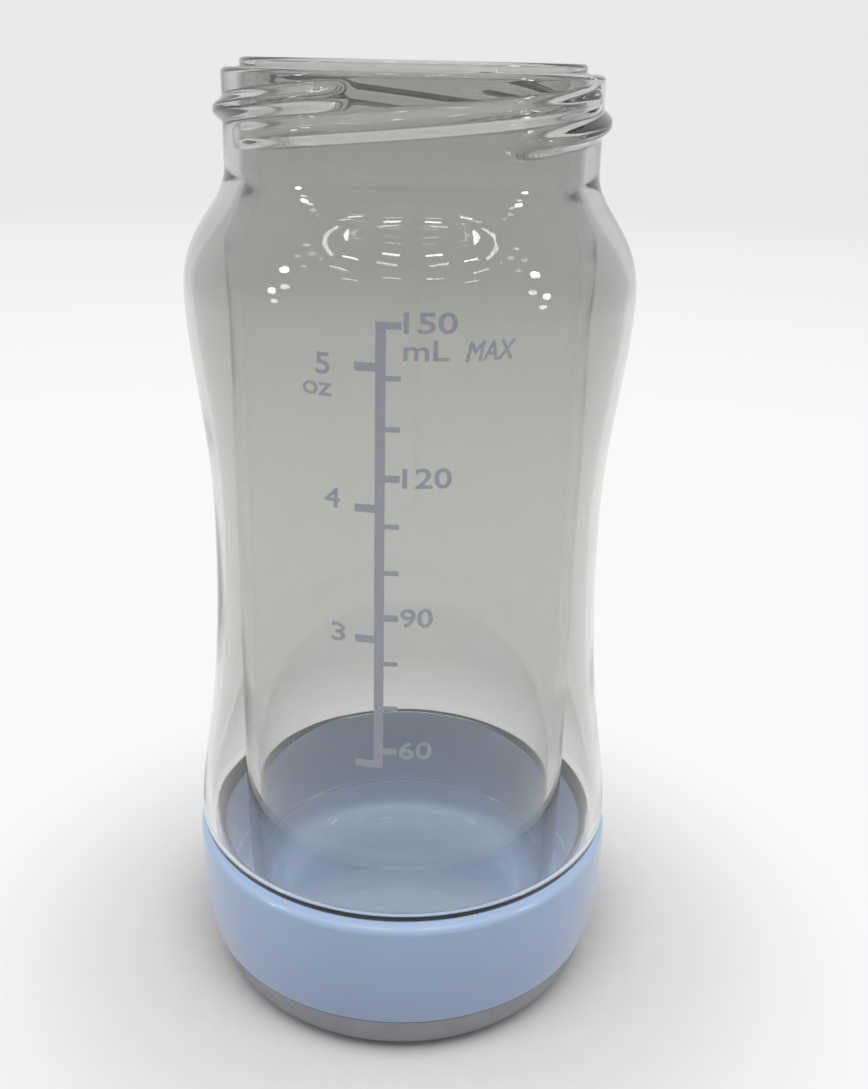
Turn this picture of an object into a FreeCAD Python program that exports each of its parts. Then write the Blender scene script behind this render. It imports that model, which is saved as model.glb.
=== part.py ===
"""Feeding bottle: a glass liner in a clear shell, on a blue base with a soft foot.

Millimetres, +Z up, origin at the middle of the foot's underside. Every piece is
turned about Z, so each one is drawn as a half section of radius and height.
The liner stands on the base sleeve's floor. The shell's skirt stands on a step
inside the sleeve, and the shell lifts off the sleeve and the liner along +Z.
"""
import FreeCAD, Part
import os

# Base sleeve and foot, outside
BASE_RADIUS = 31.25
HEEL_ROUND_WIDTH = 5.6
HEEL_ROUND_HEIGHT = 17.6
RIM_ROUND = 1.15
RIM_INNER_ROUND = 0.35

# Foot ring
FOOT_HEIGHT = 6.7
FOOT_WALL = 1.9
FOOT_THICKNESS = 2.3
FOOT_PAD_WIDTH = 5.0
FOOT_EDGE_ROUND = 0.6

# Base sleeve, inside
SLEEVE_WALL = 2.2
SLEEVE_FLOOR = 2.25
SLEEVE_DEPTH = 19.05
SLEEVE_INNER_ROUND = 4.0

# Fits between the pieces
SKIRT_CLEARANCE = 0.2
LEDGE_GAP = 0.3
LINER_NECK_CLEARANCE = 0.4
FOOT_CLEARANCE = 0.1
FOOT_SEAM = 0.1

# Shell, outer shape above the ledge
LEDGE_SETBACK = 0.4
LEDGE_ROUND = 0.5
WAIST_RADIUS = 27.09
WAIST_RISE = 48.55
SHOULDER_RADIUS = 29.7
SHOULDER_RISE = 31.15
NECK_RADIUS = 23.9
NECK_RISE = 15.32
NECK_LENGTH = 11.59
NECK_TOP_ROUND = 0.7

# Upright reach of the curves between those radii
FLARE_LOW_PULL = 10.35
FLARE_HIGH_PULL = 31.57
SWELL_LOW_PULL = 12.42
SWELL_HIGH_PULL = 8.8
SHOULDER_PULL = 8.28
NECK_PULL = 4.86

# Shell, walls and skirt
SHELL_WALL = 1.2
NECK_WALL = 1.9
NECK_BORE_DROP = 1.0
JOG_RISE = 1.9
SKIRT_DEPTH = 13.3

# Glass liner
LINER_RADIUS = 24.06
LINER_WALL = 1.8
LINER_FLOOR = 2.05
LINER_HEEL_ROUND = 7.0
PUNT_WIDTH = 14.0
PUNT_RISE = 0.6
LINER_SHOULDER_RISE = 105.0
LINER_NECK_RISE = 112.6
LINER_SHOULDER_PULL = 3.4
LIP_HEIGHT = 1.14
LIP_ROUND = 0.5

# Radii that follow from the sizes above
PAD_RADIUS = BASE_RADIUS - HEEL_ROUND_WIDTH
FOOT_OPENING_RADIUS = PAD_RADIUS - FOOT_PAD_WIDTH
CUP_RADIUS = BASE_RADIUS - SLEEVE_WALL
SKIRT_RADIUS = CUP_RADIUS - SKIRT_CLEARANCE
SKIRT_BORE = SKIRT_RADIUS - SHELL_WALL
LEDGE_RADIUS = BASE_RADIUS - LEDGE_SETBACK
NECK_BORE = NECK_RADIUS - NECK_WALL
LIP_RADIUS = NECK_BORE - LINER_NECK_CLEARANCE
MOUTH_RADIUS = LIP_RADIUS - LINER_WALL
LINER_BORE = LINER_RADIUS - LINER_WALL

# Heights that follow from the sizes above
SEAT = FOOT_THICKNESS + SLEEVE_FLOOR
RIM = SEAT + SLEEVE_DEPTH
LEDGE = RIM + LEDGE_GAP
SKIRT_END = LEDGE - SKIRT_DEPTH
WAIST = LEDGE + WAIST_RISE
SHOULDER = WAIST + SHOULDER_RISE
NECK = SHOULDER + NECK_RISE
NECK_TOP = NECK + NECK_LENGTH
LIP_TOP = NECK_TOP + LIP_HEIGHT
LINER_SHOULDER = SEAT + LINER_SHOULDER_RISE
LINER_NECK = SEAT + LINER_NECK_RISE
INNER_FLOOR = SEAT + LINER_FLOOR

AXIS = FreeCAD.Vector(0, 0, 1)
ORIGIN = FreeCAD.Vector(0, 0, 0)


def at(radius, height):
    """A point of a half section."""
    return FreeCAD.Vector(radius, 0, height)


def line(start, end):
    return Part.LineSegment(start, end).toShape()


def arc(start, end, centre):
    """The shorter arc about a centre."""
    half_way = (start - centre) + (end - centre)
    half_way.normalize()
    middle = centre + half_way * (start - centre).Length
    return Part.Arc(start, middle, end).toShape()


def bezier(*poles):
    curve = Part.BezierCurve()
    curve.setPoles(list(poles))
    return curve.toShape()


def s_curve(start, end, start_pull, end_pull):
    """A curve that leaves and arrives upright, each end by its own pull."""
    return bezier(start, start + AXIS * start_pull, end - AXIS * end_pull, end)


def outline(*corners):
    """Straight edges through (point, round) corners, each rounded by its own radius."""
    edges = []
    last = corners[0][0]
    for before, (point, radius), after in zip(corners, corners[1:], corners[2:]):
        if radius == 0:
            edges.append(line(last, point))
            last = point
            continue
        back = (before[0] - point).normalize()
        ahead = (after[0] - point).normalize()
        reach = radius / (back.cross(ahead).Length / (1 - back.dot(ahead)))
        begin = point + back * reach
        finish = point + ahead * reach
        inward = (back + ahead).normalize()
        centre = point + inward * (radius ** 2 + reach ** 2) ** 0.5
        edges.append(line(last, begin))
        edges.append(arc(begin, finish, centre))
        last = finish
    edges.append(line(last, corners[-1][0]))
    return edges


def turned(edges):
    """The solid that a closed half section makes about Z."""
    wire = Part.Wire(Part.__sortEdges__(edges))
    return Part.Face(wire).revolve(ORIGIN, AXIS, 360)


def heel_radius(height):
    """Outer radius of the rounded heel that the foot and the sleeve share."""
    drop = 1 - height / HEEL_ROUND_HEIGHT
    return PAD_RADIUS + HEEL_ROUND_WIDTH * (1 - drop ** 2) ** 0.5


def heel_curve(low, high):
    """The stretch of the heel's quarter ellipse between two heights."""
    centre = at(PAD_RADIUS, HEEL_ROUND_HEIGHT)
    tall_end = centre - AXIS * HEEL_ROUND_HEIGHT
    wide_end = at(BASE_RADIUS, HEEL_ROUND_HEIGHT)
    ellipse = Part.Ellipse(tall_end, wide_end, centre)
    first = ellipse.parameter(at(heel_radius(low), low))
    last = ellipse.parameter(at(heel_radius(high), high))
    return Part.ArcOfEllipse(ellipse, first, last).toShape()


def make_foot_ring():
    """Soft L-shaped ring round the sleeve's heel, which the bottle stands on."""
    wall_inner = heel_radius(FOOT_HEIGHT) - FOOT_WALL
    inside = outline(
        (at(heel_radius(FOOT_HEIGHT), FOOT_HEIGHT), 0),
        (at(wall_inner, FOOT_HEIGHT), 0),
        (at(wall_inner, FOOT_THICKNESS), 0),
        (at(FOOT_OPENING_RADIUS, FOOT_THICKNESS), 0),
        (at(FOOT_OPENING_RADIUS, 0), FOOT_EDGE_ROUND),
        (at(PAD_RADIUS, 0), 0),
    )
    return turned(inside + [heel_curve(0, FOOT_HEIGHT)])


def make_base_sleeve():
    """Blue cup with a rounded rim, a step inside for the shell and one outside for the foot."""
    step = FOOT_HEIGHT + FOOT_SEAM
    step_radius = heel_radius(FOOT_HEIGHT) - FOOT_WALL - FOOT_CLEARANCE
    outside = outline(
        (at(0, SEAT), 0),
        (at(0, FOOT_THICKNESS), 0),
        (at(step_radius, FOOT_THICKNESS), 0),
        (at(step_radius, step), 0),
        (at(heel_radius(step), step), 0),
    )
    inside = outline(
        (at(BASE_RADIUS, HEEL_ROUND_HEIGHT), 0),
        (at(BASE_RADIUS, RIM), RIM_ROUND),
        (at(CUP_RADIUS, RIM), RIM_INNER_ROUND),
        (at(CUP_RADIUS, SKIRT_END), 0),
        (at(SKIRT_BORE, SKIRT_END), 0),
        (at(SKIRT_BORE, SEAT), SLEEVE_INNER_ROUND),
        (at(0, SEAT), 0),
    )
    return turned(outside + [heel_curve(step, HEEL_ROUND_HEIGHT)] + inside)


def make_outer_shell():
    """Clear waisted shell, open below, with a skirt that stands in the sleeve."""
    flare = at(LEDGE_RADIUS, LEDGE + LEDGE_ROUND)
    waist = at(WAIST_RADIUS, WAIST)
    shoulder = at(SHOULDER_RADIUS, SHOULDER)
    neck = at(NECK_RADIUS, NECK)
    skirt = outline(
        (at(SKIRT_BORE, LEDGE - SHELL_WALL), 0),
        (at(SKIRT_BORE, SKIRT_END), 0),
        (at(SKIRT_RADIUS, SKIRT_END), 0),
        (at(SKIRT_RADIUS, LEDGE), 0),
        (at(LEDGE_RADIUS, LEDGE), LEDGE_ROUND),
        (flare + AXIS, 0),
    )[:-1]
    inner_flare = at(LEDGE_RADIUS - SHELL_WALL, LEDGE + JOG_RISE)
    inner_waist = at(WAIST_RADIUS - SHELL_WALL, WAIST)
    inner_shoulder = at(SHOULDER_RADIUS - SHELL_WALL, SHOULDER)
    inner_neck = at(NECK_BORE, NECK - NECK_BORE_DROP)
    finish = outline(
        (neck, 0),
        (at(NECK_RADIUS, NECK_TOP), NECK_TOP_ROUND),
        (at(NECK_BORE, NECK_TOP), 0),
        (inner_neck, 0),
    )
    jog_reach = (JOG_RISE + SHELL_WALL) / 2
    return turned([
        *skirt,
        s_curve(flare, waist, FLARE_LOW_PULL, FLARE_HIGH_PULL),
        s_curve(waist, shoulder, SWELL_LOW_PULL, SWELL_HIGH_PULL),
        s_curve(shoulder, neck, SHOULDER_PULL, NECK_PULL),
        *finish,
        s_curve(inner_shoulder, inner_neck, SHOULDER_PULL - SHELL_WALL, NECK_PULL),
        s_curve(inner_waist, inner_shoulder, SWELL_LOW_PULL, SWELL_HIGH_PULL),
        s_curve(inner_flare, inner_waist, FLARE_LOW_PULL, FLARE_HIGH_PULL),
        s_curve(at(SKIRT_BORE, LEDGE - SHELL_WALL), inner_flare, jog_reach, jog_reach),
    ])


def make_glass_body():
    """Straight glass liner whose neck passes up the shell's neck and ends in the mouth lip."""
    inner_round = LINER_HEEL_ROUND - LINER_WALL
    punt_top = at(0, SEAT + PUNT_RISE)
    punt_edge = at(PUNT_WIDTH, SEAT)
    punt_sphere = (PUNT_WIDTH ** 2 + PUNT_RISE ** 2) / (2 * PUNT_RISE)
    heel_centre = at(LINER_RADIUS - LINER_HEEL_ROUND, SEAT + LINER_HEEL_ROUND)
    heel_foot = at(heel_centre.x, SEAT)
    heel_top = at(LINER_RADIUS, heel_centre.z)
    shoulder = at(LINER_RADIUS, LINER_SHOULDER)
    neck = at(LIP_RADIUS, LINER_NECK)
    inner_shoulder = at(LINER_BORE, LINER_SHOULDER - LINER_WALL / 2)
    inner_neck = at(MOUTH_RADIUS, LINER_NECK - LINER_WALL / 2)
    inner_heel_centre = at(LINER_BORE - inner_round, INNER_FLOOR + inner_round)
    inner_heel_top = at(LINER_BORE, inner_heel_centre.z)
    floor_edge = at(inner_heel_centre.x, INNER_FLOOR)
    mouth = outline(
        (neck, 0),
        (at(LIP_RADIUS, LIP_TOP), LIP_ROUND),
        (at(MOUTH_RADIUS, LIP_TOP), LIP_ROUND),
        (inner_neck, 0),
    )
    return turned([
        arc(punt_top, punt_edge, punt_top - AXIS * punt_sphere),
        line(punt_edge, heel_foot),
        arc(heel_foot, heel_top, heel_centre),
        line(heel_top, shoulder),
        s_curve(shoulder, neck, LINER_SHOULDER_PULL, LINER_SHOULDER_PULL),
        *mouth,
        s_curve(inner_shoulder, inner_neck, LINER_SHOULDER_PULL, LINER_SHOULDER_PULL),
        line(inner_heel_top, inner_shoulder),
        arc(inner_heel_top, floor_edge, inner_heel_centre),
        line(floor_edge, at(0, INNER_FLOOR)),
        line(at(0, INNER_FLOOR), punt_top),
    ])


PIECES = {
    "outer_shell": make_outer_shell,
    "glass_body": make_glass_body,
    "base_sleeve": make_base_sleeve,
    "foot_ring": make_foot_ring,
}

os.makedirs("parts", exist_ok=True)
for name, make in PIECES.items():
    solid = make()
    solid.exportStep("parts/" + name + ".step")
    box = solid.BoundBox
    print(name, solid.ShapeType, "valid", solid.isValid(), "cm3 %.2f" % (solid.Volume / 1000),
          "z %.2f to %.2f" % (box.ZMin, box.ZMax))
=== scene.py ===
import math

import bmesh
import bpy
import numpy as np
from mathutils import Matrix, Vector


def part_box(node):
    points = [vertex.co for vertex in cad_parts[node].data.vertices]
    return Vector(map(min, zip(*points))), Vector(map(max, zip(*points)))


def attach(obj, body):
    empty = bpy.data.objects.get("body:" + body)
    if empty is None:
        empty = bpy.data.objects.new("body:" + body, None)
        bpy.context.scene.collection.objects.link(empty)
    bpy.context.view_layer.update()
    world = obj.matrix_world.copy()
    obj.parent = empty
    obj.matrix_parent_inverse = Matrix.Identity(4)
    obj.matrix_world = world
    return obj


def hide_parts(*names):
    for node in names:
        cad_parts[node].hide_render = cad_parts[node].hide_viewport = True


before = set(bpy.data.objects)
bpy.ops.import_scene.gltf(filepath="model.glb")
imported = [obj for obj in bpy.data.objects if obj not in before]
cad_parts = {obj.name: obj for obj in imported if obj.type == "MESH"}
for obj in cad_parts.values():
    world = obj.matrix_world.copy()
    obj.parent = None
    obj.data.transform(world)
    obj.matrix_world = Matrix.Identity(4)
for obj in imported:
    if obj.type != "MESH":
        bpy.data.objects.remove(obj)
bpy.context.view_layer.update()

# Sizes here are in millimetres, and meshes are scaled to metres when they are made
MM = 0.001
shell_low, shell_high = (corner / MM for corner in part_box("outer_shell"))
liner_low, liner_high = (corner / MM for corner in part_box("glass_body"))
sleeve_low, sleeve_high = (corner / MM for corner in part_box("base_sleeve"))
foot_low, foot_high = (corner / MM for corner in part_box("foot_ring"))

# Base sleeve and foot ring
BASE_RADIUS = sleeve_high.x
HEEL_ROUND_WIDTH = 5.6
HEEL_ROUND_HEIGHT = 17.6
RIM = sleeve_high.z
RIM_ROUND = 1.15
RIM_INNER_ROUND = 0.35
FOOT_HEIGHT = foot_high.z
FOOT_WALL = 1.9
FOOT_THICKNESS = sleeve_low.z
FOOT_PAD_WIDTH = 5.0
FOOT_EDGE_ROUND = 0.6
FOOT_CLEARANCE = 0.1
FOOT_SEAM = 0.1
SEAM_ROUND = 0.18
SLEEVE_WALL = 2.2
SLEEVE_INNER_ROUND = 4.0

# Clear shell
SKIRT_CLEARANCE = 0.2
SKIRT_END = shell_low.z
SHELL_WALL = 1.2
LEDGE = 23.9
LEDGE_RADIUS = shell_high.x
LEDGE_ROUND = 1.5
JOG_RISE = 1.9
WAIST = 72.45
WAIST_RADIUS = 27.09
SHOULDER = 103.6
SHOULDER_RADIUS = 29.7
NECK = 118.92
NECK_RADIUS = 23.9
NECK_BORE = 22.0
NECK_BORE_DROP = 1.0
NECK_TOP = shell_high.z
NECK_TOP_ROUND = 0.7
FLARE_LOW_PULL = 10.35
FLARE_HIGH_PULL = 31.57
SWELL_LOW_PULL = 12.42
SWELL_HIGH_PULL = 8.8
SHOULDER_PULL = 8.28
NECK_PULL = 4.86

# Glass liner
SEAT = liner_low.z
LINER_RADIUS = liner_high.x
LINER_WALL = 1.8
LINER_FLOOR = 2.05
LINER_HEEL_ROUND = 7.0
PUNT_WIDTH = 14.0
PUNT_RISE = 0.6
LINER_SHOULDER = 109.55
LINER_NECK = 117.15
LINER_SHOULDER_PULL = 3.4
LIP_TOP = liner_high.z
LIP_RADIUS = 21.6
LIP_ROUND = 0.5

# How far a clear piece is held off what it stands on, so that no two faces lie in one place
STAND_LIFT = 0.04

# Neck thread, right hand, with azimuth in degrees to the right of the front
THREAD_STARTS = 4
THREAD_LEAD = 13.8
THREAD_SPAN = 138.0
THREAD_FIRST_AZIMUTH = -64.0
THREAD_FIRST_HEIGHT = 122.75
THREAD_RISE = 1.15
THREAD_CREST = 0.5
THREAD_FLANK = 1.45
THREAD_FADE = 14.0

# Printed scale: heights of the labelled marks, and places along the liner from the front
MARK_VOLUMES = (60, 90, 120, 150)
MARK_HEIGHTS = (47.03, 66.36, 84.89, 103.33)
ML_PER_OUNCE = 28.41
ML_STEP = 10
ML_LABEL_STEP = 30
OUNCE_FIRST = 2
OUNCE_LAST = 5
BAR_PLACE = -3.38
BAR_WIDTH = 1.24
ML_TICK_END = -1.0
OUNCE_TICK_END = -6.45
ML_MAIN_THICKNESS = 0.9
ML_MINOR_THICKNESS = 0.65
OUNCE_THICKNESS = 1.05
DIGIT_HEIGHT = 2.6
PRINT_LIFT = 0.012
PRINT_THICKNESS = 0.02
BOLD = 0.07
MEDIUM = 0.055
SHARPEST_CORNER = 0.4

# Fineness of the meshes
SEGMENTS = 288
CURVE_STEP = 0.7
THREAD_STEP = 0.2
WALL_STEP = 4.0
ARC_STEP = 7.0
CREASE = 35.0
PRINT_STEP = 0.6
LETTER_CURVE_STEPS = 5
SAME_PLACE = 1e-4
SAME_POINT = 1e-5

# Share of the noise's range that is used
NOISE_LOW = 0.3
NOISE_HIGH = 0.7

# Colour of the clear shell: how far above the ledge the painted light on its pale skirt gives way to its
# full grey
SKIRT_PAINTED_LIGHT_RISE = 12.0

# Camera fitted to the photograph, with lengths in millimetres and angles in degrees
IMAGE_HEIGHT = 1089
FOCAL_PIXELS = 1218
SENSOR = 36.0
CAMERA_DISTANCE = 163.3
CAMERA_HEIGHT = 131.75
CAMERA_PITCH = 21.7
CAMERA_YAW = 1.356
CAMERA_ROLL = 1.313

# Stage and light, in metres and watts
FLOOR_REACH = 3.0
FLOOR_DROP = 0.0001
SHADOW_FADE_START = 0.02
SHADOW_FADE_END = 0.08
SWEEP_NEAR = -0.2
SWEEP_FAR = 1.6
AIM = (0, 0, 0.06)
FILL = 0.17
HORIZON_SINE = 0.15
CEILING_SINE = 0.65
HORIZON_GREY = 0.82
CEILING_GREY = 0.85
STRIP_ROWS = (-0.45, -0.28, -0.12)
STRIP_COLUMNS = (-0.36, -0.12, 0.12, 0.36)
STRIP_HEIGHT = 0.74

# Lamps: size, power, width unless it is a disc, and whether gloss shows the lamp
CEILING_PLACE = (0, -0.25, 0.75)
CEILING = (0.6, 5.0, 0.35, False)
STRIP = (0.1, 0.07, 0.016, True)

# Lamps on both sides: the place of the right one, and its kind as above
SIDE_LAMPS = {
    "side_box": ((0.55, 0.10, 0.32), (0.35, 0.9, 0.45, False)),
    "high_spot": ((0.55, -0.22, 0.42), (0.06, 0.25, None, True)),
    "low_spot": ((0.57, -0.22, 0.22), (0.05, 0.16, None, True)),
}


# Half sections, as points of radius and height
def arc(centre, radius, start, end):
    """Points about a centre, from one angle in degrees to another."""
    count = max(2, math.ceil(abs(end - start) / ARC_STEP))
    angles = np.radians(np.linspace(start, end, count + 1))
    return np.stack([centre[0] + radius * np.cos(angles), centre[1] + radius * np.sin(angles)], axis=1)


def bezier(*poles):
    poles = np.array(poles, float)
    length = np.linalg.norm(np.diff(poles, axis=0), axis=1).sum()
    t = np.linspace(0, 1, max(8, math.ceil(length / CURVE_STEP)) + 1)[:, None]
    weights = ((1 - t) ** 3, 3 * t * (1 - t) ** 2, 3 * t ** 2 * (1 - t), t ** 3)
    return sum(weight * pole for weight, pole in zip(weights, poles))


def s_curve(start, end, start_pull, end_pull):
    """A curve that leaves and arrives upright, each end by its own pull."""
    way = 1 if end[1] > start[1] else -1
    return bezier(start, (start[0], start[1] + way * start_pull), (end[0], end[1] - way * end_pull), end)


def upright(radius, low, high, step=CURVE_STEP):
    heights = np.linspace(low, high, max(1, math.ceil(abs(high - low) / step)) + 1)
    return np.stack([np.full_like(heights, radius), heights], axis=1)


def rounded(*corners):
    """Points through (radius, height, round) corners, each corner rounded by its own radius."""
    corners = [(np.array(corner[:2], float), corner[2]) for corner in corners]
    points = [corners[0][0]]
    for (before, _), (point, radius), (after, _) in zip(corners, corners[1:], corners[2:]):
        if radius == 0:
            points.append(point)
            continue
        back = (before - point) / np.linalg.norm(before - point)
        ahead = (after - point) / np.linalg.norm(after - point)
        half_angle = math.acos(back @ ahead) / 2
        inward = (back + ahead) / np.linalg.norm(back + ahead)
        centre = point + inward * radius / math.sin(half_angle)
        begin = point + back * radius / math.tan(half_angle) - centre
        finish = point + ahead * radius / math.tan(half_angle) - centre
        first = math.degrees(math.atan2(begin[1], begin[0]))
        turn = math.degrees(math.atan2(finish[1], finish[0])) - first
        turn = (turn + 180) % 360 - 180
        points.extend(arc(centre, radius, first, first + turn))
    points.append(corners[-1][0])
    return np.array(points)


def heel_radius(height):
    """Outer radius of the rounded heel that the foot and the sleeve share."""
    drop = 1 - height / HEEL_ROUND_HEIGHT
    return BASE_RADIUS - HEEL_ROUND_WIDTH + HEEL_ROUND_WIDTH * math.sqrt(1 - drop ** 2)


def heel_curve(low, high):
    """The stretch of the heel's quarter ellipse between two heights."""
    first = math.asin(1 - low / HEEL_ROUND_HEIGHT)
    last = math.asin(1 - high / HEEL_ROUND_HEIGHT)
    angles = np.linspace(first, last, math.ceil(math.degrees(first - last) / ARC_STEP * 2) + 1)
    radii = BASE_RADIUS - HEEL_ROUND_WIDTH + HEEL_ROUND_WIDTH * np.cos(angles)
    return np.stack([radii, HEEL_ROUND_HEIGHT * (1 - np.sin(angles))], axis=1)


def shell_outer_wall():
    """The shell from its ledge up to the foot of the neck."""
    ledge = (LEDGE_RADIUS, LEDGE + LEDGE_ROUND)
    waist = (WAIST_RADIUS, WAIST)
    shoulder = (SHOULDER_RADIUS, SHOULDER)
    neck = (NECK_RADIUS, NECK)
    flare = s_curve(ledge, waist, FLARE_LOW_PULL, FLARE_HIGH_PULL)
    swell = s_curve(waist, shoulder, SWELL_LOW_PULL, SWELL_HIGH_PULL)
    bend = s_curve(shoulder, neck, SHOULDER_PULL, NECK_PULL)
    return np.concatenate([flare, swell[1:], bend[1:]])


def shell_section():
    """Closed half section of the clear shell, up the outside from its skirt and down the inside."""
    skirt = BASE_RADIUS - SLEEVE_WALL - SKIRT_CLEARANCE
    skirt_bore = skirt - SHELL_WALL
    skirt_end = SKIRT_END + STAND_LIFT
    jog = (skirt_bore, LEDGE - SHELL_WALL)
    flare = (LEDGE_RADIUS - SHELL_WALL, LEDGE + JOG_RISE)
    waist = (WAIST_RADIUS - SHELL_WALL, WAIST)
    shoulder = (SHOULDER_RADIUS - SHELL_WALL, SHOULDER)
    neck = (NECK_BORE, NECK - NECK_BORE_DROP)
    jog_reach = (JOG_RISE + SHELL_WALL) / 2
    return [
        upright(skirt, skirt_end, LEDGE - 1),
        rounded((skirt, LEDGE - 1, 0), (skirt, LEDGE, 0), (LEDGE_RADIUS, LEDGE, LEDGE_ROUND),
                (LEDGE_RADIUS, LEDGE + 2 * LEDGE_ROUND, 0))[1:-1],
        shell_outer_wall(),
        upright(NECK_RADIUS, NECK, NECK_TOP - NECK_TOP_ROUND, THREAD_STEP),
        rounded((NECK_RADIUS, NECK, 0), (NECK_RADIUS, NECK_TOP, NECK_TOP_ROUND), (NECK_BORE, NECK_TOP, 0),
                neck + (0,))[1:],
        s_curve(neck, shoulder, NECK_PULL, SHOULDER_PULL - SHELL_WALL),
        s_curve(shoulder, waist, SWELL_HIGH_PULL, SWELL_LOW_PULL),
        s_curve(waist, flare, FLARE_HIGH_PULL, FLARE_LOW_PULL),
        s_curve(flare, jog, jog_reach, jog_reach),
        upright(skirt_bore, jog[1], skirt_end),
    ]


def liner_section():
    """Half section of the glass liner, from the middle of its underside to the middle of its floor."""
    seat = SEAT + STAND_LIFT
    sphere = (PUNT_WIDTH ** 2 + PUNT_RISE ** 2) / (2 * PUNT_RISE)
    tilt = math.degrees(math.asin(PUNT_WIDTH / sphere))
    heel_centre = (LINER_RADIUS - LINER_HEEL_ROUND, seat + LINER_HEEL_ROUND)
    bore = LINER_RADIUS - LINER_WALL
    mouth = LIP_RADIUS - LINER_WALL
    inner_round = LINER_HEEL_ROUND - LINER_WALL
    inner_floor = SEAT + LINER_FLOOR
    shoulder = (LINER_RADIUS, LINER_SHOULDER)
    neck = (LIP_RADIUS, LINER_NECK)
    inner_shoulder = (bore, LINER_SHOULDER - LINER_WALL / 2)
    inner_neck = (mouth, LINER_NECK - LINER_WALL / 2)
    return [
        arc((0, seat + PUNT_RISE - sphere), sphere, 90, 90 - tilt),
        [(heel_centre[0], seat)],
        arc(heel_centre, LINER_HEEL_ROUND, -90, 0),
        upright(LINER_RADIUS, heel_centre[1], LINER_SHOULDER, WALL_STEP),
        s_curve(shoulder, neck, LINER_SHOULDER_PULL, LINER_SHOULDER_PULL),
        rounded(neck + (0,), (LIP_RADIUS, LIP_TOP, LIP_ROUND), (mouth, LIP_TOP, LIP_ROUND),
                inner_neck + (0,)),
        s_curve(inner_neck, inner_shoulder, LINER_SHOULDER_PULL, LINER_SHOULDER_PULL),
        upright(bore, inner_shoulder[1], inner_floor + inner_round, WALL_STEP),
        arc((bore - inner_round, inner_floor + inner_round), inner_round, 0, -90),
        [(0, inner_floor)],
    ]


def sleeve_section():
    """Half section of the blue cup, from the middle of its floor to the middle of its underside."""
    cup = BASE_RADIUS - SLEEVE_WALL
    skirt_bore = cup - SKIRT_CLEARANCE - SHELL_WALL
    step = FOOT_HEIGHT + FOOT_SEAM
    step_radius = heel_radius(FOOT_HEIGHT) - FOOT_WALL - FOOT_CLEARANCE
    above_seam = step + 2 * SEAM_ROUND
    return [
        rounded((0, SEAT, 0), (skirt_bore, SEAT, SLEEVE_INNER_ROUND), (skirt_bore, SKIRT_END, 0),
                (cup, SKIRT_END, 0), (cup, RIM, RIM_INNER_ROUND), (BASE_RADIUS, RIM, RIM_ROUND),
                (BASE_RADIUS, HEEL_ROUND_HEIGHT, 0)),
        heel_curve(above_seam, HEEL_ROUND_HEIGHT)[::-1],
        rounded((heel_radius(above_seam), above_seam, 0), (heel_radius(step), step, SEAM_ROUND),
                (step_radius, step, 0), (step_radius, FOOT_THICKNESS, 0), (0, FOOT_THICKNESS, 0))[1:],
    ]


def foot_section():
    """Closed half section of the soft ring under the sleeve's heel."""
    wall_inner = heel_radius(FOOT_HEIGHT) - FOOT_WALL
    pad = BASE_RADIUS - HEEL_ROUND_WIDTH
    opening = pad - FOOT_PAD_WIDTH
    below_seam = FOOT_HEIGHT - 2 * SEAM_ROUND
    return [
        heel_curve(0, below_seam),
        rounded((heel_radius(below_seam), below_seam, 0),
                (heel_radius(FOOT_HEIGHT), FOOT_HEIGHT, SEAM_ROUND), (wall_inner, FOOT_HEIGHT, 0),
                (wall_inner, FOOT_THICKNESS, 0), (opening, FOOT_THICKNESS, 0),
                (opening, 0, FOOT_EDGE_ROUND), (pad, 0, 0))[1:-1],
    ]


def smooth(value):
    """Eases a share from 0 to 1."""
    share = np.clip(value, 0, 1)
    return share * share * (3 - 2 * share)


def thread_rise(azimuth, height):
    """How far the neck's thread stands out at each azimuth, at one height."""
    rise = np.zeros_like(azimuth)
    for start in range(THREAD_STARTS):
        along = (azimuth - THREAD_FIRST_AZIMUTH - start * 360 / THREAD_STARTS) % 360
        middle = THREAD_FIRST_HEIGHT + THREAD_LEAD * along / 360
        body = smooth(1 - (np.abs(height - middle) - THREAD_CREST / 2) / THREAD_FLANK)
        ends = smooth(along / THREAD_FADE) * smooth((THREAD_SPAN - along) / THREAD_FADE)
        rise = np.maximum(rise, THREAD_RISE * body * ends)
    return rise


# Meshes
def link(name, mesh):
    piece = bpy.data.objects.new(name, mesh)
    bpy.context.scene.collection.objects.link(piece)
    return piece


def finish_mesh(bm, name):
    """Turns every face outwards and makes the mesh."""
    bmesh.ops.recalc_face_normals(bm, faces=bm.faces)
    mesh = bpy.data.meshes.new(name)
    bm.to_mesh(mesh)
    bm.free()
    mesh.polygons.foreach_set("use_smooth", [True] * len(mesh.polygons))
    return mesh


def without_repeats(section):
    points = np.concatenate([np.array(part, float) for part in section])
    apart = np.linalg.norm(np.diff(points, axis=0), axis=1) > SAME_PLACE
    return points[np.concatenate([[True], apart])]


def corner_angles(points, closed):
    """The turn of the section at each of its points, in degrees."""
    steps = np.diff(np.concatenate([points[-1:], points, points[:1]]), axis=0)
    headings = np.degrees(np.arctan2(steps[:, 1], steps[:, 0]))
    turns = np.abs((np.diff(headings) + 180) % 360 - 180)
    if not closed:
        turns[[0, -1]] = 0
    return turns


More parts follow.
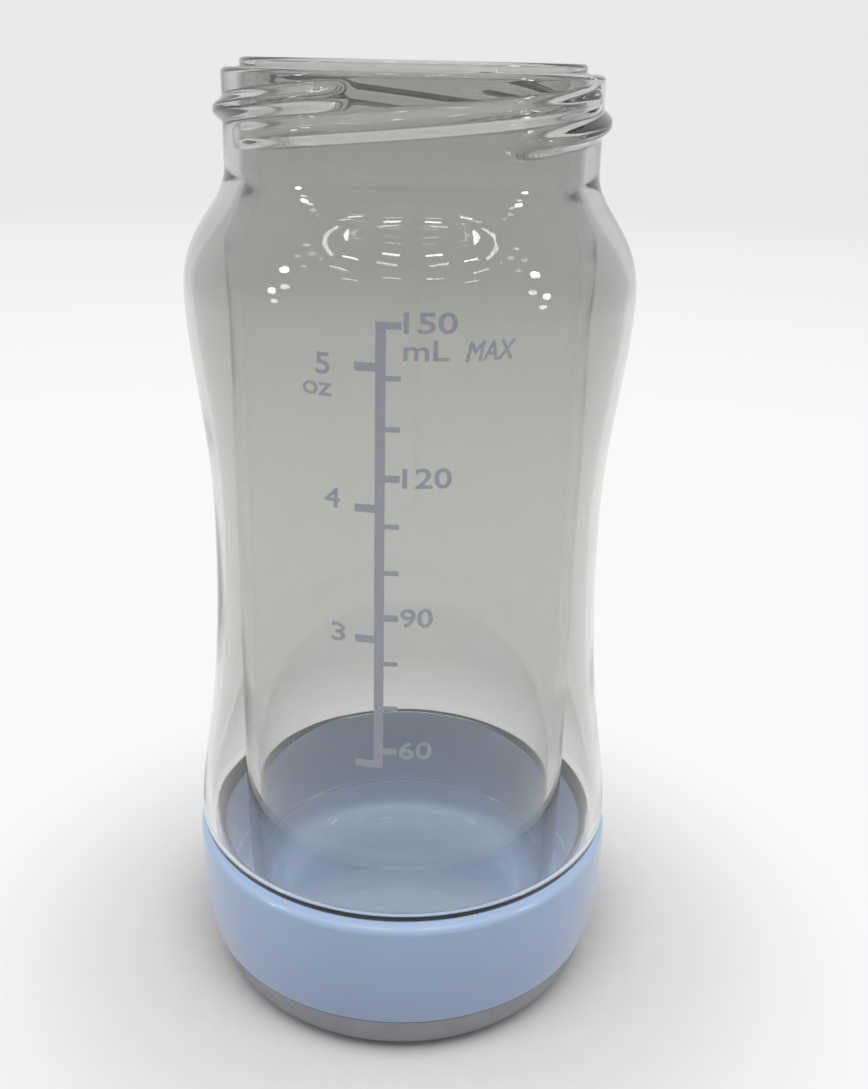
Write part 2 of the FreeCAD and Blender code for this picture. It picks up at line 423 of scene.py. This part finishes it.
def lathe(name, section, relief=None):
    """A closed mesh turned about Z, with its radius raised by a relief of azimuth and height."""
    points = without_repeats(section)
    closed = points[0][0] > SAME_PLACE
    sharp = corner_angles(points, closed) > CREASE
    azimuth = np.arange(SEGMENTS) * 360 / SEGMENTS
    bm = bmesh.new()
    rings = []
    for radius, height in points:
        if radius < SAME_PLACE:
            rings.append([bm.verts.new((0, 0, height * MM))])
            continue
        radii = np.full(SEGMENTS, radius)
        if relief and abs(radius - NECK_RADIUS) < SAME_PLACE:
            radii = radii + relief(azimuth, height)
        x = radii * np.sin(np.radians(azimuth)) * MM
        y = -radii * np.cos(np.radians(azimuth)) * MM
        rings.append([bm.verts.new((x[k], y[k], height * MM)) for k in range(SEGMENTS)])
    pairs = list(zip(rings, rings[1:]))
    if closed:
        pairs.append((rings[-1], rings[0]))
    for lower, upper in pairs:
        for k in range(SEGMENTS):
            after = (k + 1) % SEGMENTS
            corners = [lower[k % len(lower)], lower[after % len(lower)],
                       upper[after % len(upper)], upper[k % len(upper)]]
            bm.faces.new(list(dict.fromkeys(corners)))
    for ring, crease in zip(rings, sharp):
        if crease:
            for k in range(SEGMENTS):
                bm.edges.get((ring[k], ring[(k + 1) % SEGMENTS])).smooth = False
    return finish_mesh(bm, name)


# Printed scale, drawn flat as arc length from the front and height, then laid on the liner
def slice_evenly(bm, axis):
    """Cuts a flat drawing every print step along an axis, so that it can bend."""
    values = [vert.co[axis] for vert in bm.verts]
    normal = [0, 0, 0]
    normal[axis] = 1
    for place in np.arange(min(values) + PRINT_STEP / 2, max(values), PRINT_STEP):
        point = [0, 0, 0]
        point[axis] = place
        geometry = bm.verts[:] + bm.edges[:] + bm.faces[:]
        bmesh.ops.bisect_plane(bm, geom=geometry, plane_co=point, plane_no=normal, dist=SAME_POINT)


def lay_on_glass(bm, name):
    """Bends a flat drawing, whose depth runs along its own Z, round the glass."""
    bmesh.ops.triangulate(bm, faces=bm.faces)
    slice_evenly(bm, 0)
    bmesh.ops.remove_doubles(bm, verts=bm.verts, dist=SAME_PLACE)
    for vert in bm.verts:
        along, height, depth = vert.co
        azimuth = along / LINER_RADIUS
        radius = LINER_RADIUS + PRINT_LIFT + depth
        vert.co = Vector((radius * math.sin(azimuth), -radius * math.cos(azimuth), height)) * MM
    mesh = finish_mesh(bm, name)
    mesh.polygons.foreach_set("use_smooth", [False] * len(mesh.polygons))
    return mesh


def mark_height(volume):
    """Height of a volume's mark, which below the lowest label follows the first step between labels."""
    step = (MARK_HEIGHTS[1] - MARK_HEIGHTS[0]) / (MARK_VOLUMES[1] - MARK_VOLUMES[0])
    below = min(volume - MARK_VOLUMES[0], 0) * step
    return np.interp(volume, MARK_VOLUMES, MARK_HEIGHTS) + below


def scale_outline():
    """Corners of the bar with its marks, up the right side and down the left."""
    bar_left = BAR_PLACE - BAR_WIDTH / 2
    bar_right = BAR_PLACE + BAR_WIDTH / 2
    right = []
    for volume in range(MARK_VOLUMES[0], MARK_VOLUMES[-1] + 1, ML_STEP):
        main = volume % ML_LABEL_STEP == 0
        thickness = ML_MAIN_THICKNESS if main else ML_MINOR_THICKNESS
        low = mark_height(volume) - thickness / 2
        high = low + thickness
        right += [(bar_right, low), (ML_TICK_END, low), (ML_TICK_END, high), (bar_right, high)]
    left = []
    for ounces in range(OUNCE_LAST, OUNCE_FIRST - 1, -1):
        high = mark_height(ounces * ML_PER_OUNCE) + OUNCE_THICKNESS / 2
        low = high - OUNCE_THICKNESS
        left += [(bar_left, high), (OUNCE_TICK_END, high), (OUNCE_TICK_END, low), (bar_left, low)]
    bottom = [(bar_right, left[-1][1])]
    top = [(bar_left, right[-1][1])]
    return bottom + right[:-1] + top + left[:-1]


def scale_bar():
    bm = bmesh.new()
    face = bm.faces.new([bm.verts.new((along, height, 0)) for along, height in scale_outline()])
    raised = bmesh.ops.extrude_face_region(bm, geom=[face])
    for part in raised["geom"]:
        if isinstance(part, bmesh.types.BMVert):
            part.co.z += PRINT_THICKNESS
    return lay_on_glass(bm, "scale_bar")


def thicken(bm, weight):
    """Moves a flat drawing's outline outwards by a weight, square to its edges."""
    moves = {}
    for vert in bm.verts:
        normals = []
        for edge in vert.link_edges:
            if edge.is_boundary:
                along = (edge.verts[1].co - edge.verts[0].co).normalized()
                normal = Vector((along.y, -along.x, 0))
                inside = edge.link_faces[0].calc_center_median() - edge.verts[0].co
                normals.append(-normal if normal.dot(inside) > 0 else normal)
        if len(normals) == 2:
            openness = max(1 + normals[0].dot(normals[1]), SHARPEST_CORNER)
            moves[vert] = weight * (normals[0] + normals[1]) / openness
    for vert, move in moves.items():
        vert.co += move


def label(name, words, left, width, middle, size, slant, weight):
    """Words of a cap height and width, from a left edge along the liner, about a middle height."""
    curve = bpy.data.curves.new(name, "FONT")
    curve.body = words
    curve.shear = slant
    curve.resolution_u = LETTER_CURVE_STEPS
    drawing = link(name, curve)
    bpy.context.view_layer.update()
    flat = bpy.data.meshes.new_from_object(drawing.evaluated_get(bpy.context.evaluated_depsgraph_get()))
    bpy.data.objects.remove(drawing)
    bm = bmesh.new()
    bm.from_mesh(flat)
    bpy.data.meshes.remove(flat)
    bmesh.ops.remove_doubles(bm, verts=bm.verts, dist=SAME_POINT)
    corners = np.array([vert.co for vert in bm.verts])
    low, high = corners.min(0), corners.max(0)
    for vert in bm.verts:
        vert.co.x = left + weight + (width - 2 * weight) * (vert.co.x - low[0]) / (high[0] - low[0])
        vert.co.y = middle + (size - 2 * weight) * ((vert.co.y - low[1]) / (high[1] - low[1]) - 0.5)
    thicken(bm, weight)
    raised = bmesh.ops.extrude_face_region(bm, geom=bm.faces[:])
    for part in raised["geom"]:
        if isinstance(part, bmesh.types.BMVert):
            part.co.z += PRINT_THICKNESS
    return lay_on_glass(bm, name)


# Materials
def material(name):
    """A new node material, with its nodes, links and surface shader."""
    made = bpy.data.materials.new(name)
    made.use_nodes = True
    nodes = made.node_tree.nodes
    return made, nodes, made.node_tree.links, nodes["Principled BSDF"]


def noise(nodes, links, scale, detail=3.0):
    """Noise over the piece's own space, with a scale in lumps per metre."""
    place = nodes.new("ShaderNodeTexCoord")
    texture = nodes.new("ShaderNodeTexNoise")
    texture.inputs["Scale"].default_value = scale
    texture.inputs["Detail"].default_value = detail
    links.new(place.outputs["Object"], texture.inputs["Vector"])
    return texture.outputs["Fac"]


def spread(nodes, links, value, low, high):
    """Noise spread over a range of values."""
    spreader = nodes.new("ShaderNodeMapRange")
    spreader.inputs["From Min"].default_value = NOISE_LOW
    spreader.inputs["From Max"].default_value = NOISE_HIGH
    spreader.inputs["To Min"].default_value = low
    spreader.inputs["To Max"].default_value = high
    links.new(value, spreader.inputs["Value"])
    return spreader.outputs["Result"]


def tones(nodes, links, value, dark, light):
    """A colour that goes from one tone to another with a value, such as noise."""
    ramp = nodes.new("ShaderNodeValToRGB")
    ramp.color_ramp.elements[0].position = NOISE_LOW
    ramp.color_ramp.elements[1].position = NOISE_HIGH
    ramp.color_ramp.elements[0].color = (*dark, 1)
    ramp.color_ramp.elements[1].color = (*light, 1)
    links.new(value, ramp.inputs["Fac"])
    return ramp.outputs["Color"]


def bump(nodes, links, shader, value, depth):
    """Relief of a depth in metres."""
    relief = nodes.new("ShaderNodeBump")
    relief.inputs["Strength"].default_value = 1.0
    relief.inputs["Distance"].default_value = depth
    links.new(value, relief.inputs["Height"])
    links.new(relief.outputs["Normal"], shader.inputs["Normal"])


def lit_through(nodes, links, shader, passed):
    """Lets light through a clear piece to what is inside, as much of it as the colour passes."""
    path = nodes.new("ShaderNodeLightPath")
    lit = nodes.new("ShaderNodeMath")
    lit.operation = "MAXIMUM"
    links.new(path.outputs["Is Shadow Ray"], lit.inputs[0])
    links.new(path.outputs["Is Diffuse Ray"], lit.inputs[1])
    open_way = nodes.new("ShaderNodeBsdfTransparent")
    open_way.inputs["Color"].default_value = (*passed, 1)
    mix = nodes.new("ShaderNodeMixShader")
    links.new(lit.outputs["Value"], mix.inputs["Fac"])
    links.new(shader.outputs["BSDF"], mix.inputs[1])
    links.new(open_way.outputs["BSDF"], mix.inputs[2])
    links.new(mix.outputs["Shader"], nodes["Material Output"].inputs["Surface"])


def by_height(nodes, links, stops):
    """A grey that changes up the piece, through stops of a height in millimetres and a colour."""
    place = nodes.new("ShaderNodeTexCoord")
    parts = nodes.new("ShaderNodeSeparateXYZ")
    links.new(place.outputs["Object"], parts.inputs["Vector"])
    share = nodes.new("ShaderNodeMapRange")
    share.inputs["From Max"].default_value = stops[-1][0] * MM
    links.new(parts.outputs["Z"], share.inputs["Value"])
    ramp = nodes.new("ShaderNodeValToRGB")
    elements = ramp.color_ramp.elements
    while len(elements) < len(stops):
        elements.new(1.0)
    for element, (height, colour) in zip(elements, stops):
        element.position = height / stops[-1][0]
        element.color = (*colour, 1)
    links.new(share.outputs["Result"], ramp.inputs["Fac"])
    return ramp.outputs["Color"]


# The shell's grey by height: the pale skirt is painted light, so that the base inside shows brighter
# through it, and the darker neck is painted shade
CLEAR_SHELL_TINT_AND_PAINTED_LIGHT = (
    (LEDGE + JOG_RISE, (0.93, 0.925, 0.915)),
    (LEDGE + SKIRT_PAINTED_LIGHT_RISE, (0.72, 0.712, 0.698)),
    (WAIST, (0.72, 0.712, 0.698)),
    (NECK, (0.60, 0.593, 0.582)),
)


def clear_shell():
    """Clear moulded plastic, a little grey, with painted light on its skirt and painted shade on its
    neck, and with faint flow waves and handling marks.
    """
    made, nodes, links, shader = material("clear_shell")
    # The grey by height paints light on the skirt and shade on the neck
    links.new(by_height(nodes, links, CLEAR_SHELL_TINT_AND_PAINTED_LIGHT), shader.inputs["Base Color"])
    shader.inputs["Transmission Weight"].default_value = 1.0
    shader.inputs["IOR"].default_value = 1.5
    links.new(spread(nodes, links, noise(nodes, links, 160, 5), 0.0, 0.03), shader.inputs["Roughness"])
    bump(nodes, links, shader, noise(nodes, links, 45, 1), 0.0002)
    lit_through(nodes, links, shader, (0.97, 0.97, 0.97))
    return made


def clear_glass():
    """Clear glass with faint drawn waves and handling marks."""
    made, nodes, links, shader = material("clear_glass")
    shader.inputs["Base Color"].default_value = (0.97, 0.98, 0.975, 1)
    shader.inputs["Transmission Weight"].default_value = 1.0
    shader.inputs["IOR"].default_value = 1.5
    links.new(spread(nodes, links, noise(nodes, links, 190, 5), 0.0, 0.02), shader.inputs["Roughness"])
    bump(nodes, links, shader, noise(nodes, links, 60, 1), 0.00012)
    lit_through(nodes, links, shader, (0.97, 0.98, 0.98))
    return made


def blue_gloss():
    """Smooth moulded plastic in a pale blue, with a faint cloud and a fine skin."""
    made, nodes, links, shader = material("blue_gloss")
    cloud = noise(nodes, links, 60, 3)
    colour = tones(nodes, links, cloud, (0.29, 0.395, 0.565), (0.31, 0.415, 0.595))
    links.new(colour, shader.inputs["Base Color"])
    links.new(spread(nodes, links, noise(nodes, links, 120, 3), 0.2, 0.24), shader.inputs["Roughness"])
    shader.inputs["IOR"].default_value = 1.5
    shader.inputs["Coat Weight"].default_value = 0.6
    shader.inputs["Coat Roughness"].default_value = 0.08
    bump(nodes, links, shader, noise(nodes, links, 1500, 2), 0.000002)
    return made


def grey_grip():
    """Soft grey rubber, satin, with a fine grain."""
    made, nodes, links, shader = material("grey_grip")
    cloud = noise(nodes, links, 140, 5)
    colour = tones(nodes, links, cloud, (0.27, 0.273, 0.292), (0.32, 0.323, 0.342))
    links.new(colour, shader.inputs["Base Color"])
    links.new(spread(nodes, links, noise(nodes, links, 300, 4), 0.42, 0.56), shader.inputs["Roughness"])
    bump(nodes, links, shader, noise(nodes, links, 2600, 3), 0.00003)
    return made


def scale_ink():
    """Pale blue-grey enamel, slightly mottled as it is when screened on to glass."""
    made, nodes, links, shader = material("scale_ink")
    mottle = noise(nodes, links, 1400, 4)
    colour = tones(nodes, links, mottle, (0.38, 0.42, 0.49), (0.43, 0.47, 0.545))
    links.new(colour, shader.inputs["Base Color"])
    links.new(spread(nodes, links, mottle, 0.45, 0.6), shader.inputs["Roughness"])
    return made


def shown_ray(nodes, links):
    """One for rays from the camera, off a gloss or through glass, and nought for light on surfaces."""
    path = nodes.new("ShaderNodeLightPath")
    total = path.outputs["Is Camera Ray"]
    for kind in ("Is Glossy Ray", "Is Transmission Ray"):
        larger = nodes.new("ShaderNodeMath")
        larger.operation = "MAXIMUM"
        links.new(total, larger.inputs[0])
        links.new(path.outputs[kind], larger.inputs[1])
        total = larger.outputs["Value"]
    return total


def pale_floor():
    """Pale grey paper that keeps the object's shadow, seen further out as a near-white sweep."""
    made, nodes, links, shader = material("pale_floor")
    paper = tones(nodes, links, noise(nodes, links, 300, 3), (0.52, 0.52, 0.52), (0.54, 0.54, 0.54))
    links.new(paper, shader.inputs["Base Color"])
    shader.inputs["Roughness"].default_value = 0.9
    shader.inputs["Specular IOR Level"].default_value = 0.0
    place = nodes.new("ShaderNodeNewGeometry")
    length = nodes.new("ShaderNodeVectorMath")
    length.operation = "LENGTH"
    links.new(place.outputs["Position"], length.inputs[0])
    fade = nodes.new("ShaderNodeMapRange")
    fade.interpolation_type = "SMOOTHSTEP"
    fade.inputs["From Min"].default_value = SHADOW_FADE_START
    fade.inputs["From Max"].default_value = SHADOW_FADE_END
    links.new(length.outputs["Value"], fade.inputs["Value"])
    share = nodes.new("ShaderNodeMath")
    share.operation = "MULTIPLY"
    links.new(fade.outputs["Result"], share.inputs[0])
    links.new(shown_ray(nodes, links), share.inputs[1])
    far = nodes.new("ShaderNodeMapRange")
    far.inputs["From Min"].default_value = SWEEP_NEAR
    far.inputs["From Max"].default_value = SWEEP_FAR
    links.new(length.outputs["Value"], far.inputs["Value"])
    sweep = nodes.new("ShaderNodeEmission")
    white = tones(nodes, links, far.outputs["Result"], (0.95, 0.95, 0.95), (0.82, 0.82, 0.82))
    links.new(white, sweep.inputs["Color"])
    mix = nodes.new("ShaderNodeMixShader")
    links.new(share.outputs["Value"], mix.inputs["Fac"])
    links.new(shader.outputs["BSDF"], mix.inputs[1])
    links.new(sweep.outputs["Emission"], mix.inputs[2])
    links.new(mix.outputs["Shader"], nodes["Material Output"].inputs["Surface"])
    return made


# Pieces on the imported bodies
def place_piece(name, mesh, body, slot, finish, *nodes):
    piece = link(name, mesh)
    piece.data.materials.append(finish)
    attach(piece, body)
    if nodes:
        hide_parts(*nodes)
    return piece


shell_mesh = lathe("clear_shell", shell_section(), thread_rise)
shell = place_piece("clear_shell", shell_mesh, "shell", "clear_shell", clear_shell(), "outer_shell")
# Light reaches the inside of the base past the shell, whose own faint shadow is left out
shell.visible_shadow = False
liner_mesh = lathe("glass_liner", liner_section())
place_piece("glass_liner", liner_mesh, "base", "clear_glass", clear_glass(), "glass_body")
sleeve_mesh = lathe("blue_sleeve", sleeve_section())
place_piece("blue_sleeve", sleeve_mesh, "base", "blue_gloss", blue_gloss(), "base_sleeve")
ring_mesh = lathe("grip_ring", foot_section())
place_piece("grip_ring", ring_mesh, "base", "grey_grip", grey_grip(), "foot_ring")

# Labels of the scale: words, left edge, width, middle height, cap height, slant and weight
ink = scale_ink()
LABELS = {
    "scale_150": ("150", -0.75, 6.2, 103.7, DIGIT_HEIGHT, 0.0, BOLD),
    "scale_120": ("120", -0.7, 5.95, 85.0, DIGIT_HEIGHT, 0.0, BOLD),
    "scale_90": ("90", -0.75, 4.1, 66.45, DIGIT_HEIGHT, 0.0, BOLD),
    "scale_60": ("60", -0.75, 4.3, 47.2, DIGIT_HEIGHT, 0.0, BOLD),
    "scale_ml": ("mL", -0.75, 5.3, 100.5, 2.4, 0.0, MEDIUM),
    "scale_max": ("MAX", 6.5, 6.5, 100.3, 2.4, 0.25, BOLD),
    "scale_ounce_5": ("5", -11.45, 1.95, 98.4, DIGIT_HEIGHT, 0.0, BOLD),
    "scale_oz": ("oz", -13.2, 3.9, 95.3, 1.65, 0.0, MEDIUM),
    "scale_ounce_4": ("4", -10.35, 2.05, 81.9, DIGIT_HEIGHT, 0.0, BOLD),
    "scale_ounce_3": ("3", -9.65, 1.95, 63.8, DIGIT_HEIGHT, 0.0, BOLD),
}
place_piece("scale_bar", scale_bar(), "base", "blue_gloss", ink)
for name, drawing in LABELS.items():
    place_piece(name, label(name, *drawing), "base", "blue_gloss", ink)


# Floor, light and camera
def floor(reach):
    bm = bmesh.new()
    bmesh.ops.create_grid(bm, x_segments=8, y_segments=8, size=reach)
    piece = link("floor", finish_mesh(bm, "floor"))
    piece.location.z = -FLOOR_DROP
    piece.data.materials.append(pale_floor())


def studio_world():
    """A pale room that is seen and mirrored, and a plain weaker fill on the surfaces."""
    world = bpy.data.worlds.new("studio")
    bpy.context.scene.world = world
    world.use_nodes = True
    nodes = world.node_tree.nodes
    links = world.node_tree.links
    shown = nodes["Background"]
    fill = nodes.new("ShaderNodeBackground")
    fill.inputs["Color"].default_value = (1, 1, 1, 1)
    fill.inputs["Strength"].default_value = FILL
    place = nodes.new("ShaderNodeTexCoord")
    parts = nodes.new("ShaderNodeSeparateXYZ")
    links.new(place.outputs["Generated"], parts.inputs["Vector"])
    ramp = nodes.new("ShaderNodeValToRGB")
    stops = ((HORIZON_SINE, HORIZON_GREY), (CEILING_SINE, CEILING_GREY))
    for element, (position, grey) in zip(ramp.color_ramp.elements, stops):
        element.position = position
        element.color = (grey, grey, grey, 1)
    links.new(parts.outputs["Z"], ramp.inputs["Fac"])
    links.new(ramp.outputs["Color"], shown.inputs["Color"])
    mix = nodes.new("ShaderNodeMixShader")
    links.new(shown_ray(nodes, links), mix.inputs["Fac"])
    links.new(fill.outputs["Background"], mix.inputs[1])
    links.new(shown.outputs["Background"], mix.inputs[2])
    links.new(mix.outputs["Shader"], nodes["World Output"].inputs["Surface"])


def lamp(name, place, size, power, width, mirrored):
    """A lamp aimed at the bottle, a disc where it has no width. Only a mirrored one shows in gloss."""
    data = bpy.data.lights.new(name, "AREA")
    data.shape = "RECTANGLE" if width else "DISK"
    data.size = size
    data.size_y = width or size
    data.energy = power
    made = bpy.data.objects.new(name, data)
    bpy.context.scene.collection.objects.link(made)
    made.location = place
    made.rotation_euler = (Vector(AIM) - Vector(place)).to_track_quat("-Z", "Y").to_euler()
    made.visible_glossy = mirrored
    made.visible_transmission = mirrored


def camera():
    """The photograph's viewpoint: close, level with the lip and looking down on the base."""
    data = bpy.data.cameras.new("camera")
    data.sensor_width = SENSOR
    data.lens = FOCAL_PIXELS * data.sensor_width / IMAGE_HEIGHT
    made = bpy.data.objects.new("camera", data)
    bpy.context.scene.collection.objects.link(made)
    turn = Matrix.Rotation(math.radians(-CAMERA_YAW), 4, "Z")
    tilt = Matrix.Rotation(math.radians(90 - CAMERA_PITCH), 4, "X")
    roll = Matrix.Rotation(math.radians(CAMERA_ROLL), 4, "Z")
    place = Matrix.Translation((0, -CAMERA_DISTANCE * MM, CAMERA_HEIGHT * MM))
    made.matrix_world = place @ turn @ tilt @ roll
    bpy.context.scene.camera = made


floor(FLOOR_REACH)
studio_world()
lamp("ceiling", CEILING_PLACE, *CEILING)
for row in STRIP_ROWS:
    for column in STRIP_COLUMNS:
        lamp("ceiling_strip", (column, row, STRIP_HEIGHT), *STRIP)
for name, ((reach, depth, height), kind) in SIDE_LAMPS.items():
    for side in (-1, 1):
        lamp(name, (side * reach, depth, height), *kind)
camera()
bpy.context.scene.view_settings.view_transform = "Standard"
